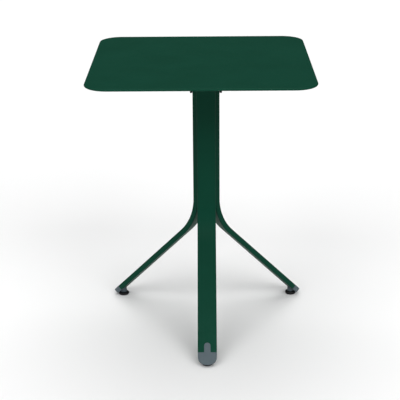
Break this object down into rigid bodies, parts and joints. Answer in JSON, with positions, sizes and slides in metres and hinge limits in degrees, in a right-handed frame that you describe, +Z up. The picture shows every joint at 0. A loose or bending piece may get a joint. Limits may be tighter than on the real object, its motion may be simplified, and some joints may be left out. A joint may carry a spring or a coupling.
{
  "type": "bistro table",
  "caption": "Square sheet-steel bistro table on a column of flat tubes that bend outward into legs, with a tilting top, cam lever clamp and screw-in levelling glides.",
  "frame": {"origin": "on the floor, under the middle of the table's outline seen from above", "axes": "+Z up; -Y towards the front, where the single leg points; +X to the right of someone facing the front leg"},
  "size_m": [0.5703, 0.5954, 0.74],
  "materials": {
    "green_powder_coat": "satin, fine-textured dark green powder coat",
    "black_powder_coat": "matt black powder coat",
    "zinc_steel": "bright zinc plated",
    "grey_plastic": "moulded grey nylon, satin",
    "black_plastic": "moulded black nylon, satin",
    "black_rubber": "matt black rubber"
  },
  "bodies": {
    "base": {"front_leg": "green_powder_coat", "left_leg": "green_powder_coat", "right_leg": "green_powder_coat", "column_cap": "green_powder_coat", "column_welds": "green_powder_coat", "rest_buffer": "black_rubber", "pivot_sleeve": "green_powder_coat", "pivot_bushes": "black_plastic", "front_plug": "grey_plastic", "left_plug": "grey_plastic", "right_plug": "grey_plastic", "front_insert": "zinc_steel", "left_insert": "zinc_steel", "right_insert": "zinc_steel"},
    "tilting_top": {"tabletop": "green_powder_coat", "left_rail": "green_powder_coat", "right_rail": "green_powder_coat", "rivet_nuts": "zinc_steel", "tilt_bracket": "black_powder_coat", "bracket_screws": "zinc_steel", "screw_washers": "zinc_steel", "pivot_rod": "zinc_steel", "rod_washer": "zinc_steel", "stop_bar": "zinc_steel", "stop_sleeve": "black_rubber", "cam_washer": "black_plastic", "lever_pin": "zinc_steel"},
    "clamp_lever": {"cam_lever": "black_powder_coat", "lever_grip": "black_rubber"},
    "front_glide_screw": {"front_glide_stem": "zinc_steel"},
    "front_glide": {"front_glide_pad": "black_plastic"},
    "left_glide_screw": {"left_glide_stem": "zinc_steel"},
    "left_glide": {"left_glide_pad": "black_plastic"},
    "right_glide_screw": {"right_glide_stem": "zinc_steel"},
    "right_glide": {"right_glide_pad": "black_plastic"}
  },
  "joints": [
    {"name": "top_tilt", "type": "hinge", "parent": "base", "child": "tilting_top", "pos_m": [0.012, 0.01268, 0.674], "axis": [1, 0, 0], "range_deg": [0, 90]},
    {"name": "lever_swing", "type": "hinge", "parent": "tilting_top", "child": "clamp_lever", "pos_m": [0.06947, 0.01268, 0.674], "axis": [0, 0, -1], "range_deg": [0, 90]},
    {"name": "front_glide_travel", "type": "slide", "parent": "base", "child": "front_glide_screw", "axis": [0, 0, -1], "range_m": [0, 0.01]},
    {"name": "front_glide_turn", "type": "hinge", "parent": "front_glide_screw", "child": "front_glide", "pos_m": [0.012, -0.27162, 0.004], "axis": [0, 0, -1], "range_deg": [0, 2880]},
    {"name": "left_glide_travel", "type": "slide", "parent": "base", "child": "left_glide_screw", "axis": [0, 0, -1], "range_m": [0, 0.01]},
    {"name": "left_glide_turn", "type": "hinge", "parent": "left_glide_screw", "child": "left_glide", "pos_m": [-0.23421, 0.15483, 0.004], "axis": [0, 0, -1], "range_deg": [0, 2880]},
    {"name": "right_glide_travel", "type": "slide", "parent": "base", "child": "right_glide_screw", "axis": [0, 0, -1], "range_m": [0, 0.01]},
    {"name": "right_glide_turn", "type": "hinge", "parent": "right_glide_screw", "child": "right_glide", "pos_m": [0.25821, 0.15483, 0.004], "axis": [0, 0, -1], "range_deg": [0, 2880]}
  ],
  "couplings": [
    {"joint": "front_glide_travel", "follows": "front_glide_turn", "m_per_rad": 0.00019894},
    {"joint": "left_glide_travel", "follows": "left_glide_turn", "m_per_rad": 0.00019894},
    {"joint": "right_glide_travel", "follows": "right_glide_turn", "m_per_rad": 0.00019894}
  ]
}
